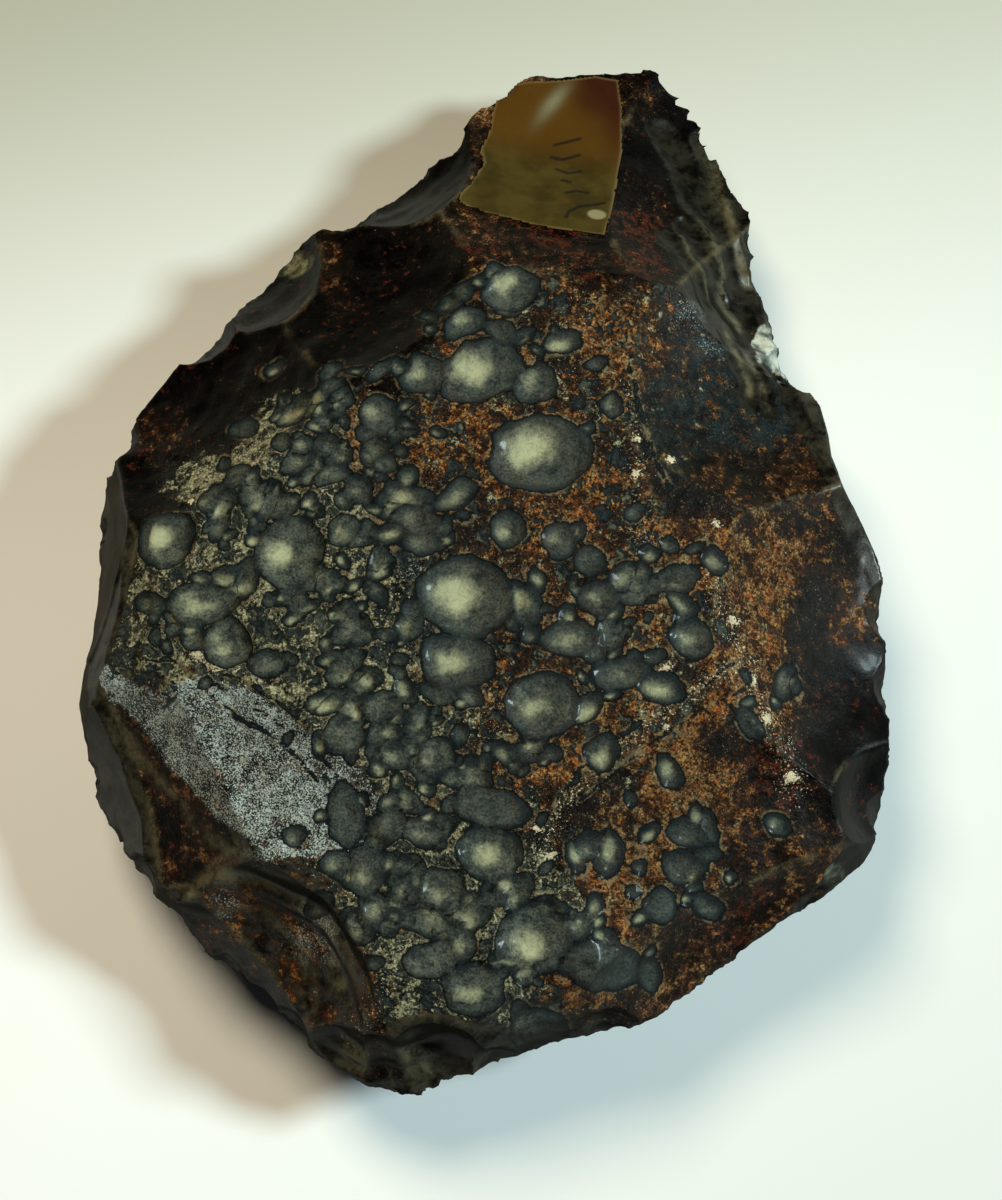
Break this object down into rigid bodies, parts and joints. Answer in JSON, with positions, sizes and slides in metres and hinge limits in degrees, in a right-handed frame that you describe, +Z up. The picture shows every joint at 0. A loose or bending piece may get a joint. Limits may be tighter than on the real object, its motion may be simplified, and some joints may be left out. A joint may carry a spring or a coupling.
{
  "type": "stone hand axe",
  "caption": "Broad pear-shaped stone hand axe of dark glossy flint, pitted crown, flaked sides, chipped edge, old paper label glued near its point.",
  "frame": {"origin": "under the middle of the outline, on the surface that the stone lies on", "axes": "+Y towards the point along the stone's length, +X across it to the right with the pitted face up, +Z up through its thickness"},
  "size_m": [0.1072, 0.1448, 0.0349],
  "materials": {
    "flint": "dark brown-black flint, glossy in the pits and scars, rusty and pitted on the crown",
    "label_paper": "aged olive-tan paper, varnished and stained, with dark pen strokes"
  },
  "bodies": {
    "root": {"flint_body": "flint", "paper_label": "label_paper"}
  },
  "joints": []
}
